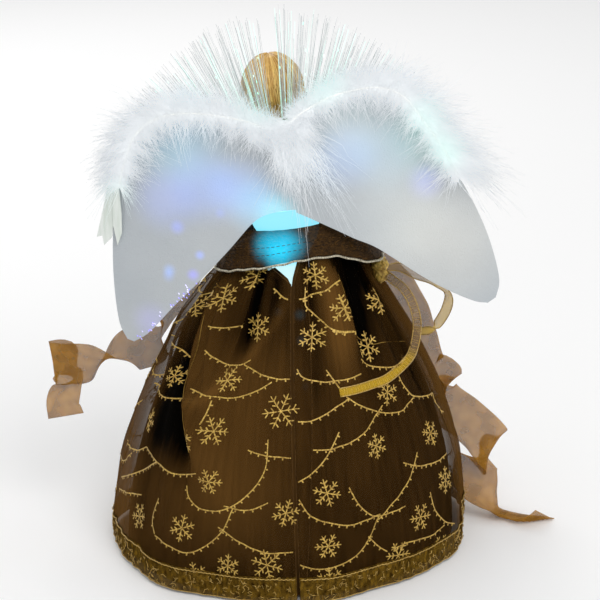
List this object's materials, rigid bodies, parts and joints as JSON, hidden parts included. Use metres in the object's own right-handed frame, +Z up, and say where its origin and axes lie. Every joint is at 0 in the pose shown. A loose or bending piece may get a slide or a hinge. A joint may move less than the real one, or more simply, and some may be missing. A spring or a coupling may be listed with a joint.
{
  "type": "lit angel tree topper",
  "caption": "Doll-style angel for the top of a tree, with felt wings, down trim, light fibres and a printed sheer skirt over a stiff bell form with a battery box.",
  "frame": {"origin": "middle of the foot ring's flat underside, where the topper stands", "axes": "+Z up, +Y towards the wings at the back, -Y towards the face, +X towards the angel's left wing"},
  "size_m": [0.2757, 0.1952, 0.3018],
  "materials": {
    "black_plastic": "matt",
    "white_plastic": "satin",
    "card": "matt paperboard",
    "steel": "plated",
    "brass": "plain",
    "cell_wrap": "printed film",
    "circuit_board": "lacquered",
    "diode_lens": "clear",
    "clear_cup": "clear, lit from inside",
    "light_fibre": "clear",
    "red_lead": "smooth",
    "black_lead": "smooth",
    "skin": "satin",
    "blond_hair": "combed fibre",
    "satin": "satin",
    "sheer_brown": "sheer organza with a gold print",
    "brown_sash": "sheer weave, doubled",
    "gold_trim": "metallic thread",
    "gold_sheer": "sheer ribbon",
    "felt": "pressed felt",
    "down": "loose down"
  },
  "bodies": {
    "angel": {"skirt_form": "black_plastic", "foot_ring": "black_plastic", "deck": "black_plastic", "socket_tube": "card", "battery_box": "black_plastic", "box_screw_1": "steel", "box_screw_2": "steel", "cell_1": "cell_wrap", "cell_2": "cell_wrap", "cell_3": "cell_wrap", "cell_spring_1": "steel", "cell_spring_2": "steel", "cell_spring_3": "steel", "lid_pin": "steel", "switch_body": "steel", "lamp_housing": "white_plastic", "lamp_board": "circuit_board", "led_1": "diode_lens", "led_2": "diode_lens", "led_3": "diode_lens", "lead_red": "red_lead", "lead_black": "black_lead", "ferrule": "steel", "light_cup": "clear_cup", "fibre_bundle": "light_fibre", "fibre_spray_left": "light_fibre", "fibre_spray_right": "light_fibre", "bust": "skin", "bodice": "brown_sash", "head": "skin", "hair": "blond_hair", "sleeve_left": "brown_sash", "sleeve_right": "brown_sash", "cuff_left": "gold_trim", "cuff_right": "gold_trim", "hand_left": "skin", "hand_right": "skin", "underskirt": "satin", "overskirt": "sheer_brown", "waistband": "brown_sash", "waistband_edging": "gold_trim", "gold_knot": "gold_trim", "gold_loop": "gold_sheer", "gold_tail": "gold_sheer", "wide_ribbon": "sheer_brown", "wing_spine": "felt", "wing_stud": "white_plastic", "neck_tuft": "down"},
    "left_wing": {"wing_left": "felt", "boa_left": "down", "cut_feathers": "down"},
    "right_wing": {"wing_right": "felt", "boa_right": "down", "plume": "down"},
    "lid": {"battery_lid": "black_plastic", "lid_contact_1": "brass", "lid_contact_2": "brass"},
    "knob": {"switch_knob": "white_plastic"}
  },
  "joints": [
    {"name": "left_wing_fold", "type": "hinge", "parent": "angel", "child": "left_wing", "pos_m": [-0.00043, 0.0342, 0.21414], "axis": [0.0837, 0, 0.9965], "range_deg": [0, 30], "stiffness_Nm_per_rad": 0.02},
    {"name": "right_wing_fold", "type": "hinge", "parent": "angel", "child": "right_wing", "pos_m": [-0.01637, 0.0342, 0.21548], "axis": [-0.0837, 0, -0.9965], "range_deg": [0, 30], "stiffness_Nm_per_rad": 0.02},
    {"name": "battery_lid_turn", "type": "hinge", "parent": "angel", "child": "lid", "pos_m": [-0.00539, -0.0473, 0.0336], "axis": [-1, 0, 0], "range_deg": [0, 100]},
    {"name": "switch_slide", "type": "slide", "parent": "angel", "child": "knob", "axis": [0, 1, 0], "range_m": [0, 0.004]}
  ]
}
